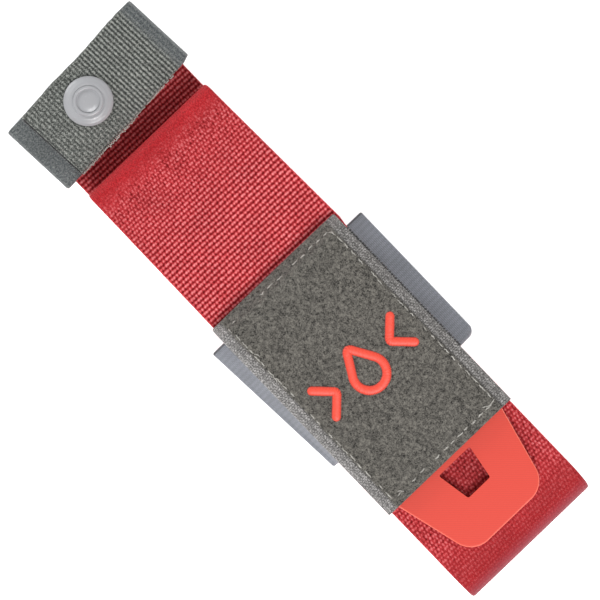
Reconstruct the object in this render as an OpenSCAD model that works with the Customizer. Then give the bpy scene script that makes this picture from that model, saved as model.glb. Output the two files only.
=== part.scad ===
// Folded windlass tourniquet.
// The strap lies folded flat. A turning key twists the tension ribbon, a hinged cover lies over the
// key, a wide keeper loop holds the folds, and a snap band closes round the tail of the strap.
// Frame: origin on the key's turning axis at the resting plane, +X along the strap towards the big
// rounded fold, +Z up through the key and the cover. All sizes are in millimetres.

/* [Strap] */
// Width of the strap webbing
strap_w = 38; // [36:0.5:40]
// Thickness of the strap webbing
web_t = 1.3; // [1.1:0.1:1.4]
// Distance from the key's axis to the tip of the big rounded fold
pack_right = 45.8; // [44:0.2:52]
// Distance from the key's axis to the tip of the other fold
pack_left = 86.8; // [80:0.2:90]
// Distance from the key's axis to the end of the tail
tail_end = 111.4; // [110:0.2:112]

/* [Windlass key] */
// Overall length of the key
key_len = 76; // [70:1:76]
// Widest width of the key
key_w = 34.7; // [30:0.1:36]
// Thickness of the key
key_t = 3; // [2.6:0.1:3.4]
// Width of the flat at each tip of the key, between its corner arcs
key_tip_w = 14.2; // [12:0.1:19]

/* [Cover] */
// Length of the cover
cover_len = 60.9; // [58:0.1:61]
// Width of the cover
cover_w = 40; // [38:0.5:42]
// Width of the loop fabric on the cover
face_w = 34.6; // [30:0.2:36]

/* [Keeper and snap band] */
// Width of the keeper webbing
keeper_w = 39.6; // [36:0.2:40]
// Thickness of the grey webbing
band_t = 1.1; // [0.9:0.1:1.2]
// Width of the snap band
band_w = 20.1; // [18:0.1:22]
// Angle of the snap band across the tail, in degrees
band_skew = 3.5; // [0:0.5:4]
// Diameter of the snap cap
cap_d = 12; // [11:0.5:13]

/* [Hidden] */
$fn = 48;

gap = 0.1;              // clearance between layers that lie on each other
hair = gap / 2;         // clearance between a part and what is sewn or bonded to it

// Heights, from the resting plane up
z_keeper = band_t + gap;
z_low = z_keeper + band_t + gap;
z_buckle = z_low + web_t + gap;
buckle_h = 3.8;
layer = web_t + gap;
inner_layers = 4;
z_inner = z_buckle + buckle_h + gap;
z_keeper_top = z_inner + inner_layers * layer;
plate_t = 1.8;
z_plate = z_keeper_top + band_t + gap;
ribbon_t = 0.5;
z_ribbon = z_plate + plate_t + gap;
z_top = z_ribbon + ribbon_t + gap;
z_key = z_top + web_t + 0.6;
key_lift = 0.2;         // air between the key and the cover's hook pad
z_cover_hook = z_key + key_t + key_lift;
cover_hook_t = 0.6;
z_backing = z_cover_hook + cover_hook_t + hair;
face_t = 1;
z_face = z_backing + band_t + hair;
thread_t = 0.4;
z_mark = z_face + face_t + hair;

// Fold radii of the strap, on the middle of the webbing
nose_r = (z_top - z_low) / 2;
left_r = (z_top - z_inner - (inner_layers - 1) * layer) / 2;
fold_r = layer / 2;
nose_x = pack_right - nose_r - web_t / 2;
left_x = -pack_left + left_r + web_t / 2;
inner_right_x = nose_x + 1.8;
inner_left_x = left_x - 1.2;

// Buckle
buckle_x = -35;         // its left end
buckle_len = 30;
rail_w = 3.3;
slot_w = strap_w + 0.4;
bar_len = 4;
buckle_taper = 1.6;     // how much narrower each side is at its right end
wrap_x = buckle_x + buckle_len - bar_len - gap - web_t;   // left face of the strap round the end bar
sewn_len = 20;          // how far the strap's sewn end runs back from the buckle
sewn_x = 1.5;           // where the sewn end comes down on the run below it

// Windlass
collar_r = 7.5;
collar_bore_r = 6;
collar_clear = 0.2;
slot_x = 2.6;           // middle of each ribbon slot from the axis
slot_len = 9.4;
slot_gap = 1.2;
corner_r = 6;
shoulder_r = 6;
shoulder_x = 16;        // middle of each shoulder's round, along the key
eye_near = 18.5;        // the eye's two parallel sides, from the axis
eye_far = 27.9;
eye_near_w = 11;
eye_far_w = 7.8;

// Cover
cover_x = -43.4;        // sewn end of the cover
anchor_len = 3.2;
stitch_in = 2.2;        // stitch line from the cover's ends
stitch_len = 2;
stitch_pitch = 3;
stitch_w = 0.45;
mark_x = -12.3;

// Keeper
keeper_x = -39.2;
keeper_right_y = 25;
keeper_left_y = -24;
lap_end_y = 17;         // the outer end of the overlap under the pack
lap_start_y = -12;      // the inner end of the overlap

// Snap band
band_x = -102.8;
band_left_y = -21.9;
band_right_y = 20.9;
flap_left_y = -17.1;
snap = [-103.2, -3.5];
rivet_t = 0.5;
z_band_low = z_low + web_t + rivet_t + 2 * gap;
snap_gap = 2;
z_band_flap = z_band_low + band_t + snap_gap;
hole_r = 1.7;           // hole in the webbing for the snap
stem_r = 1;             // stem that rivets each half of the snap
flange_r = 4.5;
flange_t = 0.5;
cap_h = 2.1;

red = [0.74, 0.2, 0.23];
coral = [0.93, 0.32, 0.25];
slate = [0.45, 0.46, 0.48];
charcoal = [0.2, 0.2, 0.21];
felt = [0.39, 0.38, 0.36];

// ---- Shared shapes ----

// Extrudes an XZ outline across the strap, centred on Y = 0
module across(width) {
    rotate([90, 0, 0]) linear_extrude(height = width, center = true) children();
}

// Extrudes a YZ outline along the strap, from x to x + length
module along(x, length) {
    translate([x, 0, 0]) rotate([90, 0, 90]) linear_extrude(height = length) children();
}

// One straight run of webbing in the XZ outline, with its lower face at z
module run(x0, x1, z, t = web_t) {
    translate([x0, z]) square([x1 - x0, t]);
}

// A half-round fold in the XZ outline, between runs whose lower faces are at z0 and z1.
// side is +1 for a fold that bulges towards +X and -1 for one towards -X.
module fold(x, z0, z1, side) {
    r = (z1 - z0) / 2;
    translate([x, z0 + r + web_t / 2]) difference() {
        circle(r + web_t / 2);
        circle(r - web_t / 2);
        translate([side > 0 ? -2 * r - web_t : 0, -r - web_t]) square([2 * r + web_t, 2 * (r + web_t)]);
    }
}

function left_of(v) = [-v[1], v[0]] / norm(v);

// The mitre at point i of a line of points, for a strip of half-width 1
function mitre(points, i) =
    let (last = len(points) - 1,
         before = left_of(points[max(i, 1)] - points[max(i, 1) - 1]),
         after = left_of(points[min(i, last - 1) + 1] - points[min(i, last - 1)]))
    (before + after) / (1 + before * after);

// A strip of webbing of thickness t that follows a line of points, with mitred bends
module strip(points, t) {
    count = len(points);
    polygon(concat(
        [for (i = [0 : count - 1]) points[i] + mitre(points, i) * t / 2],
        [for (i = [count - 1 : -1 : 0]) points[i] - mitre(points, i) * t / 2]
    ));
}

// A rectangular slab with its lower corner given
module slab(corner, size) {
    translate(corner) cube(size);
}

// A row of stitches from point a to point b, each a short bar of thread lying along the row
module stitch_row(a, b, z) {
    d = b - a;
    count = floor((norm(d) - stitch_len) / stitch_pitch);
    step = (norm(d) - stitch_len) / count;
    translate([a[0], a[1], z]) rotate(atan2(d[1], d[0]))
        for (i = [0 : count]) slab([i * step, -stitch_w / 2, 0], [stitch_len, stitch_w, thread_t]);
}

// A box of stitches between two corners, whose rows stop short of the corners
module stitch_box(low, high, z) {
    in = stitch_w;
    stitch_row([low[0] + in, low[1]], [high[0] - in, low[1]], z);
    stitch_row([low[0] + in, high[1]], [high[0] - in, high[1]], z);
    stitch_row([low[0], low[1] + in], [low[0], high[1] - in], z);
    stitch_row([high[0], low[1] + in], [high[0], high[1] - in], z);
}

// ---- Strap, plate, ribbon and buckle ----

function z_layer(i) = z_inner + i * layer;

module main_strap() {
    drop_x = buckle_x + buckle_len / 2 - 2.6;
    over_bar = z_buckle + buckle_h - web_t / 2;
    sewn = z_low + web_t + gap + web_t / 2;
    color(red) difference() {
        across(strap_w) {
            run(left_x, nose_x, z_top);
            fold(nose_x, z_low, z_top, 1);
            run(wrap_x, nose_x, z_low);
            run(wrap_x, wrap_x + web_t, z_low, z_buckle + buckle_h - z_low);
            strip([[wrap_x, over_bar], [buckle_x + buckle_len + 0.5, over_bar],
                   [sewn_x, sewn], [wrap_x + sewn_len, sewn]], web_t);
            fold(left_x, z_layer(3), z_top, -1);
            run(left_x, inner_right_x, z_layer(3));
            fold(inner_right_x, z_layer(2), z_layer(3), 1);
            run(inner_left_x, inner_right_x, z_layer(2));
            fold(inner_left_x, z_layer(1), z_layer(2), -1);
            run(inner_left_x, inner_right_x, z_layer(1));
            fold(inner_right_x, z_layer(0), z_layer(1), 1);
            run(drop_x, inner_right_x, z_layer(0));
            run(drop_x, drop_x + web_t, z_buckle, z_layer(0) + web_t - z_buckle);
        }
        translate([0, 0, z_top - 1]) cylinder(r = collar_r + gap, h = web_t + 2);
    }
}

// Stitches that close the strap's sewn end against the run below it
module strap_stitches() {
    color(charcoal)
        for (x = [sewn_x + 2, wrap_x + sewn_len - 2], y = [-15 : 3 : 15])
            slab([x - 0.3, y - 1, z_low + web_t + hair / 2], [0.6, 2, gap - hair]);
}

module base_plate() {
    plate = [78, 35];
    middle_x = -1;
    end_r = 41.6;
    rivet_x = 31;
    color(charcoal) difference() {
        union() {
            translate([middle_x, 0, z_plate]) intersection() {
                slab([-plate[0] / 2, -plate[1] / 2, 0], [plate[0], plate[1], plate_t]);
                cylinder(r = end_r, h = plate_t, $fn = 96);
            }
            translate([0, 0, z_plate]) cylinder(r = collar_r, h = z_key - collar_clear - z_plate);
        }
        translate([0, 0, z_plate + plate_t / 2]) cylinder(r = collar_bore_r, h = z_key);
        for (sx = [-1, 1], sy = [-1, 1])
            translate([middle_x + sx * rivet_x, sy * 12, z_plate - 1]) cylinder(r = 2, h = plate_t + 2);
    }
}

module tension_ribbon() {
    ribbon = [112, 25];
    ribbon_x = -74;
    color(charcoal) difference() {
        slab([ribbon_x, -ribbon[1] / 2, z_ribbon], [ribbon[0], ribbon[1], ribbon_t]);
        slab([-collar_r - gap, -ribbon[1], z_ribbon - 1], [2 * (collar_r + gap), 2 * ribbon[1], 3]);
    }
}

// The buckle's outline seen from above, narrower towards its right end
module buckle_outline() {
    wide = slot_w / 2 + rail_w;
    narrow = wide - buckle_taper;
    polygon([[buckle_x, -wide], [buckle_x + buckle_len, -narrow],
             [buckle_x + buckle_len, narrow], [buckle_x, wide]]);
}

// One cross bar of the buckle, between the rails
module buckle_bar(x, h) {
    slab([x, -slot_w / 2 - 1, z_buckle], [bar_len, slot_w + 2, h]);
}

module buckle() {
    color(slate) {
        translate([0, 0, z_buckle]) linear_extrude(height = buckle_h) difference() {
            buckle_outline();
            translate([buckle_x + bar_len, -slot_w / 2]) square([buckle_len, slot_w]);
        }
        buckle_bar(buckle_x + buckle_len / 2, buckle_h);
        buckle_bar(buckle_x + buckle_len - bar_len, buckle_h - layer);
    }
}

// ---- Keeper ----

module keeper_loop() {
    top = z_keeper_top + band_t / 2;
    low = z_keeper + band_t / 2;
    lap = band_t / 2;
    shoulder = strap_w / 2 + 0.6;
    hip = z_inner;
    right = keeper_right_y - band_t / 2;
    left = keeper_left_y + band_t / 2;
    path = [[lap_start_y, low], [right - 1.6, low], [right, z_buckle], [right, hip], [shoulder, top],
            [-shoulder, top], [left, hip], [left, z_buckle], [left + 1.6, lap], [lap_end_y, lap]];
    color(slate) along(keeper_x, keeper_w) strip(path, band_t);
}

// Two rows of stitches between the keeper's overlapping ends
module keeper_stitches() {
    color(charcoal)
        for (y = [-8, 13], x = [keeper_x + 3 : 3 : keeper_x + keeper_w - 3])
            slab([x - 1, y - 0.3, band_t + hair / 2], [2, 0.6, gap - hair]);
}

// ---- Windlass key ----

module key_outline() {
    hull() {
        for (sx = [-1, 1], sy = [-1, 1]) {
            translate([sx * (key_len / 2 - corner_r), sy * key_tip_w / 2]) circle(corner_r);
            translate([sx * shoulder_x, sy * (key_w / 2 - shoulder_r)]) circle(shoulder_r);
        }
    }
}

module key_eye() {
    round_r = 1;
    offset(r = round_r) offset(delta = -round_r) polygon([
        [eye_near, -eye_near_w / 2], [eye_far, -eye_far_w / 2],
        [eye_far, eye_far_w / 2], [eye_near, eye_near_w / 2]
    ]);
}

module windlass_key() {
    waist_r = 34;
    waist_depth = 5;
    color(coral) difference() {
        translate([0, 0, z_key]) linear_extrude(height = key_t) difference() {
            key_outline();
            for (turn = [0, 180]) rotate(turn) {
                key_eye();
                translate([0, key_w / 2 - waist_depth + waist_r]) circle(waist_r, $fn = 96);
            }
            for (s = [-1, 1])
                translate([s * slot_x - slot_gap / 2, -slot_len / 2]) square([slot_gap, slot_len]);
        }
        slab([-slot_x - 0.6, -slot_len / 2, z_key + key_t - 1.2], [2 * slot_x + 1.2, slot_len, 2]);
        for (s = [-1, 1]) pad_space(s, 0);
    }
}

// The shallow seat of a bonded pad on the key's top face, grown inwards by a clearance
module pad_space(side, clear) {
    pad = [8, 15];
    depth = 0.4;
    pad_x = 12;
    translate([side * pad_x, 0, z_key + key_t - depth + clear])
        linear_extrude(height = 1) square([pad[0] - 2 * clear, pad[1] - 2 * clear], center = true);
}

module key_pads() {
    color(charcoal) intersection() {
        for (s = [-1, 1]) pad_space(s, hair);
        slab([-30, -20, z_key], [60, 40, key_t + hair]);
    }
}

// The loop of ribbon that passes over the key's middle bar and down into the plate's collar
module ribbon_loop() {
    leg = ribbon_t + 0.1;
    top = z_key + key_t - 1.1;
    bottom = z_plate + plate_t / 2 + 0.4;
    width = slot_len - 0.6;
    color(charcoal) across(width) {
        run(-slot_x - leg / 2, slot_x + leg / 2, top, leg);
        run(-slot_x - leg / 2, slot_x + leg / 2, bottom, leg);
        for (s = [-1, 1]) run(s * slot_x - leg / 2, s * slot_x + leg / 2, bottom, top - bottom + leg);
    }
}

// ---- Cover ----

module cover_anchor() {
    color(slate) slab([cover_x, -cover_w / 2 + 0.4, z_top + web_t + hair],
                      [anchor_len, cover_w - 0.8, z_backing - z_top - web_t - 2 * hair]);
}

module anchor_stitches() {
    color(charcoal)
        for (x = [cover_x + 0.8, cover_x + anchor_len - 0.8], y = [-16 : 3.2 : 16])
            slab([x - 0.25, y - 1, z_top + web_t + hair / 4], [0.5, 2, hair / 2]);
}

module cover_backing() {
    color(slate) slab([cover_x, -cover_w / 2, z_backing], [cover_len, cover_w, band_t]);
}

module cover_face() {
    color(felt) slab([cover_x, -face_w / 2, z_face], [cover_len, face_w, face_t]);
}

module cover_hook_pad() {
    pad = [22, 24];
    color(charcoal) slab([-pad[0] / 2 + 3, -pad[1] / 2, z_cover_hook], [pad[0], pad[1], cover_hook_t]);
}

module cover_stitches() {
    side = face_w / 2 - 1;
    color([0.75, 0.74, 0.7])
        stitch_box([cover_x + stitch_in, -side], [cover_x + cover_len - stitch_in, side], z_mark);
}

// A drop with a round foot of radius r and its point at height h above the foot's centre
module drop(r, h) {
    tangent = asin(r / h);
    circle(r);
    polygon([[0, h], [r * cos(tangent), r * sin(tangent)], [-r * cos(tangent), r * sin(tangent)]]);
}

// The embroidered sign: the outline of a drop between two chevrons that press on it
module cover_mark() {
    stroke = 2.2;
    arm = 5;
    reach = 8.6;
    color(coral) translate([mark_x, 0, z_mark]) rotate(90) linear_extrude(height = thread_t) {
        translate([0, -2.2]) difference() {
            drop(5.2, 10.2);
            drop(5.2 - stroke, 10.2 - stroke * 10.2 / 5.2);
        }
        for (s = [-1, 1])
            strip([[s * (reach + arm), -arm], [s * reach, 0], [s * (reach + arm), arm]], stroke);
    }
}

// ---- Tail, snap band and snap ----

module strap_tail() {
    color(red) slab([-tail_end, -strap_w / 2, z_low], [tail_end + wrap_x - gap, strap_w, web_t]);
}

// Places a part in the snap band's own frame, where the band runs along Y and is centred on X = 0
module in_band() {
    translate([band_x, 0, 0]) rotate(band_skew) children();
}

// The snap's centre in the band's own frame
snap_local = [
    (snap[0] - band_x) * cos(band_skew) + snap[1] * sin(band_skew),
    -(snap[0] - band_x) * sin(band_skew) + snap[1] * cos(band_skew)
];

module in_snap() {
    translate([snap[0], snap[1], 0]) children();
}

module band_base() {
    low = z_keeper + band_t / 2;
    over = z_band_low + band_t / 2;
    left = band_left_y + band_t / 2;
    right = band_right_y - band_t / 2;
    path = [[6, over], [left, over], [left, low], [right, low], [right, z_band_flap - hair]];
    color(slate) difference() {
        in_band() along(-band_w / 2, band_w) strip(path, band_t);
        in_snap() translate([0, 0, z_band_low - 0.2]) cylinder(r = hole_r + hair, h = band_t + 0.4);
    }
}

module band_stitches() {
    z = z_keeper + band_t + hair / 2;
    color(charcoal) in_band() for (y = [-12 : 4 : 12]) slab([-6, y - 1, z], [12, 2, gap - hair]);
}

module band_flap() {
    color(slate) difference() {
        in_band() slab([-band_w / 2, flap_left_y, z_band_flap],
                       [band_w, band_right_y - flap_left_y - gap, band_t]);
        in_snap() translate([0, 0, z_band_flap - 0.2]) cylinder(r = hole_r + hair, h = band_t + 0.4);
    }
}

module snap_rivet() {
    color("silver") in_snap() {
        translate([0, 0, z_low + web_t + gap]) cylinder(r = flange_r, h = rivet_t);
        translate([0, 0, z_low + web_t + gap]) cylinder(r = stem_r, h = rivet_t + band_t + gap);
    }
}

module snap_stud() {
    z = z_band_low + band_t + hair;
    color("silver") in_snap() difference() {
        union() {
            translate([0, 0, z]) cylinder(r = flange_r, h = flange_t);
            translate([0, 0, z]) cylinder(r = 1.9, h = 1.4);
        }
        translate([0, 0, z - 0.1]) cylinder(r = stem_r + hair, h = 0.3);
    }
}

module snap_socket() {
    z = z_band_low + band_t + hair + flange_t + gap;
    color("silver") in_snap() difference() {
        translate([0, 0, z]) cylinder(r = 4.7, h = z_band_flap - hair - z);
        translate([0, 0, z - 0.1]) cylinder(r = 2.3, h = 1.05);
        translate([0, 0, z]) cylinder(r = stem_r + hair, h = 3);
    }
}

module snap_cap() {
    rim_h = 0.7;
    z = z_band_flap + band_t + hair;
    dome_r = (pow(cap_d / 2 - 0.4, 2) + pow(cap_h - rim_h, 2)) / (2 * (cap_h - rim_h));
    color([0.72, 0.73, 0.75]) in_snap() {
        difference() {
            union() {
                translate([0, 0, z]) cylinder(r = cap_d / 2, h = rim_h);
                translate([0, 0, z + rim_h]) intersection() {
                    translate([0, 0, cap_h - rim_h - dome_r]) sphere(r = dome_r, $fn = 96);
                    cylinder(r = cap_d / 2 - 0.4, h = cap_h);
                }
            }
            translate([0, 0, z + cap_h - 0.35]) difference() {
                cylinder(r = 3.3, h = 1);
                translate([0, 0, -1]) cylinder(r = 2.5, h = 3);
            }
        }
        translate([0, 0, z_band_flap - 0.3]) cylinder(r = stem_r, h = band_t + 0.5);
    }
}

main_strap();
base_plate();
tension_ribbon();
buckle();
strap_stitches();
keeper_loop();
keeper_stitches();
cover_anchor();
anchor_stitches();
strap_tail();
band_base();
band_stitches();
snap_stud();
snap_rivet();
band_flap();
snap_cap();
snap_socket();
windlass_key();
ribbon_loop();
key_pads();
cover_backing();
cover_face();
cover_mark();
cover_stitches();
cover_hook_pad();
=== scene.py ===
"""Looks for the folded tourniquet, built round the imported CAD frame.

Every length in this file is in millimetres. build_mesh() turns them into metres when a mesh is made.
"""
import math

import bmesh
import bpy
import mathutils
import numpy as np
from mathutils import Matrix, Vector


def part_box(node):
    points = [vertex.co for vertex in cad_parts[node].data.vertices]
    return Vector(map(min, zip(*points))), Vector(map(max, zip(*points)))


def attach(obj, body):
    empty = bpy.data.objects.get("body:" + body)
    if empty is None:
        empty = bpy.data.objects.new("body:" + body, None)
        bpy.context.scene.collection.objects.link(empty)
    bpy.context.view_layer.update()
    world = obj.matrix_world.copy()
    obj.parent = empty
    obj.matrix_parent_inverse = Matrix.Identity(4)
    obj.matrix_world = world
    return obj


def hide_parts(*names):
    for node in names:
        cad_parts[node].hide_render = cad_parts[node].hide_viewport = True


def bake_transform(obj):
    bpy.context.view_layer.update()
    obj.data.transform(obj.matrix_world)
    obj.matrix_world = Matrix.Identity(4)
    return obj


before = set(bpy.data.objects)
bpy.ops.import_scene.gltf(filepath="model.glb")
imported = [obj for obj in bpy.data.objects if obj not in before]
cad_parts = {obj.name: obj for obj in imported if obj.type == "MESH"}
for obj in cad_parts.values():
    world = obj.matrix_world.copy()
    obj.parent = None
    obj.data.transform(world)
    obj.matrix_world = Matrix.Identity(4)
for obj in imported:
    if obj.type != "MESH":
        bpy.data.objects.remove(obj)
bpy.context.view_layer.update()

METRES = 0.001


def box(node):
    """Lowest and highest corner of a CAD node, in millimetres."""
    low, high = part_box(node)
    return np.array(low) / METRES, np.array(high) / METRES


# ---- sizes, from the frame

STRAP_LOW, STRAP_HIGH = box("main_strap")
TAIL_LOW, TAIL_HIGH = box("strap_tail")
BUCKLE_LOW, BUCKLE_HIGH = box("buckle")
KEEPER_LOW, KEEPER_HIGH = box("keeper_loop")
BACKING_LOW, BACKING_HIGH = box("cover_backing")
FACE_LOW, FACE_HIGH = box("cover_face")
ANCHOR_LOW, ANCHOR_HIGH = box("cover_anchor")
MARK_TOP = box("cover_mark")[1][2]
KEY_LOW, KEY_HIGH = box("windlass_key")
CAP_LOW, CAP_HIGH = box("snap_cap")

GAP = 0.1  # between layers of webbing
WEB = TAIL_HIGH[2] - TAIL_LOW[2]
BAND_WEB = BACKING_HIGH[2] - BACKING_LOW[2]
LAYER = WEB + GAP
STRAP_W = TAIL_HIGH[1] - TAIL_LOW[1]
Z_LOW = STRAP_LOW[2] + WEB / 2
Z_TOP = STRAP_HIGH[2] - WEB / 2
Z_INNER = BUCKLE_HIGH[2] + GAP + WEB / 2
INNER_LAYERS = 4
NOSE_R = (Z_TOP - Z_LOW) / 2
LEFT_R = (Z_TOP - Z_INNER - (INNER_LAYERS - 1) * LAYER) / 2
NOSE_X = STRAP_HIGH[0] - WEB / 2 - NOSE_R
LEFT_X = STRAP_LOW[0] + WEB / 2 + LEFT_R

RIB = 1.12  # one rib of the red webbing
CELL = 1.19  # one line of yarn along it
# The waves of the weave: how many ribs and lines each counts, and its turn. LOST is the share of each that
# goes where the yarn is loose.
WAVES = ((1, 0, 0), (0, 1, 0), (0.5, 1.5, 0.4), (0.5, -1.5, 0.5), (0.5, 0.5, 0), (0.5, -0.5, 0))
LOST = (0.68, 0.4, -0.15, -0.15, 0, 0)
EVEN_WEAVE = (0.5, 0.2, 0.15, 0.15)  # the shares of the waves in plain webbing and ribbon

VIEW_TURN = 46.2  # how far the strap points below the horizontal in the camera's view, in degrees

EYE_NEAR, EYE_FAR = 18.5, 27.9  # the key's trapezoid eyes, from the axis
EYE_NEAR_Y, EYE_FAR_Y = 5.5, 3.9

# ---- meshes


def build_mesh(name, verts, faces, marks=None):
    """A mesh object from points in millimetres. marks holds one number a point for each named attribute."""
    mesh = bpy.data.meshes.new(name)
    mesh.from_pydata((np.asarray(verts) * METRES).tolist(), [], [list(map(int, f)) for f in faces])
    for key, values in (marks or {}).items():
        layer = mesh.attributes.new(key, "FLOAT", "POINT")
        layer.data.foreach_set("value", np.asarray(values, np.float32))
    face_outwards(mesh)
    mesh.shade_smooth()
    return placed(bpy.data.objects.new(name, mesh))


def face_outwards(mesh, weld=False):
    """Turns all faces outwards, after joining points that coincide where weld is set."""
    work = bmesh.new()
    work.from_mesh(mesh)
    if weld:
        bmesh.ops.remove_doubles(work, verts=work.verts, dist=1e-7)
    bmesh.ops.recalc_face_normals(work, faces=work.faces)
    work.to_mesh(mesh)
    work.free()


def placed(thing):
    """An object, once it is in the scene."""
    bpy.context.scene.collection.objects.link(thing)
    return thing


ARC_STEP = 0.04  # between the points of an arc
CORNER_POINTS = 24  # in each rounded corner


def unit(rows):
    """Directions, each scaled to length 1."""
    return rows / np.linalg.norm(rows, axis=-1, keepdims=True)


def arc(centre, r, start, stop):
    """Points along an arc. Angles are in degrees."""
    count = max(6, int(abs(math.radians(stop - start)) * r / ARC_STEP))
    a = np.radians(np.linspace(start, stop, count))
    return np.c_[centre[0] + r * np.cos(a), centre[1] + r * np.sin(a)]


def rounded(points, r):
    """A line of points with its inner corners rounded to radius r."""
    points = np.asarray(points, float)
    out = [points[:1]]
    for before, corner, after in zip(points, points[1:], points[2:]):
        a, b = unit(before - corner), unit(after - corner)
        half = math.acos(np.clip(a @ b, -1, 1)) / 2
        if half > math.pi / 2 - 0.01:
            out.append(corner[None])
            continue
        room = min(np.linalg.norm(before - corner), np.linalg.norm(after - corner)) / 2
        reach = min(r / math.tan(half), room)
        t = np.linspace(0, 1, CORNER_POINTS)[:, None]
        p, q = corner + a * reach, corner + b * reach
        out.append((1 - t) ** 2 * p + 2 * t * (1 - t) * corner + t ** 2 * q)
    out.append(points[-1:])
    return np.vstack(out)


NEAR = 0.05  # how far to each side a path's direction is measured


def resample(path, step):
    """Evenly spaced points along a path, with the direction to the left of travel and the length so far."""
    path = np.asarray(path, float)
    keep = np.r_[True, np.linalg.norm(np.diff(path, axis=0), axis=1) > 1e-6]
    path = path[keep]
    length = np.r_[0, np.cumsum(np.linalg.norm(np.diff(path, axis=0), axis=1))]
    count = max(2, int(round(length[-1] / step)) + 1)
    run = np.linspace(0, length[-1], count)

    def point(where):
        return np.c_[np.interp(where, length, path[:, 0]), np.interp(where, length, path[:, 1])]

    along = unit(point(run + NEAR) - point(run - NEAR))
    return point(run), np.c_[-along[:, 1], along[:, 0]], run


def beside(at, left, amount):
    """Both coordinates of points beside a path, at the amounts to its left that each row of amount holds."""
    return at.T[:, :, None] + left.T[:, :, None] * amount


def clip(value):
    """A value held between 0 and 1."""
    return np.clip(value, 0, 1)


TABLE = 64  # how many random values smooth_noise() has each way before it repeats


def smooth_noise(u, v, size, seed):
    """Seeded noise from -1 to 1 that varies over lengths of about size."""
    table = np.random.default_rng(seed).uniform(-1, 1, (TABLE, TABLE))
    a, b = u / size, v / size
    i, j = np.floor(a).astype(int), np.floor(b).astype(int)
    s, t = a - i, b - j
    s, t = s * s * (3 - 2 * s), t * t * (3 - 2 * t)
    i0, i1, j0, j1 = i % TABLE, (i + 1) % TABLE, j % TABLE, (j + 1) % TABLE
    top = table[i0, j0] * (1 - s) + table[i1, j0] * s
    low = table[i0, j1] * (1 - s) + table[i1, j1] * s
    return top * (1 - t) + low * t


def floats(rib, cell, shares, seed=1, uneven=0.2, skew=0.0):
    """The relief of webbing, as a sum of WAVES: ribs across it, lines along it, and slanted floats of yarn.
    shares is how much of each there is. The relief takes how loose the yarn is, 0 to 1, and gives the level,
    0 low and 1 high, and how bright a painted glint each float gets."""
    def relief(run, side, loose):
        stray = 0.04 + 0.2 * loose ** 3
        u = (run - skew * side + 0.1 * smooth_noise(run, side, 9.0, seed)
             + stray * smooth_noise(run, side, 0.8, seed + 2)) / rib
        v = (side + stray * smooth_noise(run, side, 0.7, seed + 3)) / cell
        wave = 0.4 * loose ** 3 * smooth_noise(run, side, 0.5, seed + 4)
        for share, lost, (ribs, lines, turn) in zip(shares, LOST, WAVES):
            wave = wave + (1 - lost * loose) * share * np.cos(2 * np.pi * (ribs * u + lines * v + turn))
        chance = 0.5 + 0.5 * smooth_noise(run, side, 0.75, seed + 1)
        level = clip(0.52 + 0.66 * wave) * (1 - uneven * chance)
        painted_glint = clip((wave - 0.2) / 0.8) * chance
        return level, painted_glint
    return relief


def skin(n, m, closed=False):
    """Faces over n rings of m points each, with flat ends unless the last ring joins the first."""
    i, j = np.meshgrid(np.arange(n if closed else n - 1), np.arange(m), indexing="ij")
    after, k = (i + 1) % n, (j + 1) % m
    quads = np.stack([i * m + j, i * m + k, after * m + k, after * m + j], -1).reshape(-1, 4).tolist()
    return quads if closed else quads + [list(range(m)), list(range((n - 1) * m, n * m))]


def ring(width, thick, step, inner_step):
    """The outline of webbing cut across: side position and height, the outward direction at each point, and
    1 on the outer face, -1 on the inner one and 0 on the edges."""
    r = thick * 0.46
    flat = width / 2 - r
    out = np.linspace(-flat, flat, int(round(2 * flat / step)) + 1)
    back = np.linspace(flat, -flat, int(round(2 * flat / inner_step)) + 1)
    turn = np.radians(np.linspace(90, -90, 7))[1:-1]
    side = np.r_[out, flat + r * np.cos(turn), back, -flat - r * np.cos(turn[::-1])]
    face = np.repeat([1, 0, -1, 0], [len(out), len(turn), len(back), len(turn)])
    d_side = np.r_[0 * out, np.cos(turn), 0 * back, -np.cos(turn[::-1])]
    d_high = np.r_[0 * out + 1, np.sin(turn), 0 * back - 1, np.sin(turn[::-1])]
    return side, d_high * thick / 2, d_side, d_high, face


EVEN = (1, 0, 0, 0)  # a fade that changes nothing: full strength, not loose, no painted shade, no closer
TURN_START, TURN_LENGTH = 4.2, 3.4  # where the painted lilac sheen starts as the webbing turns down at the nose, and over what length
HIDDEN_LEVEL = 0.8  # how high the relief lies on a face that has none


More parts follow.
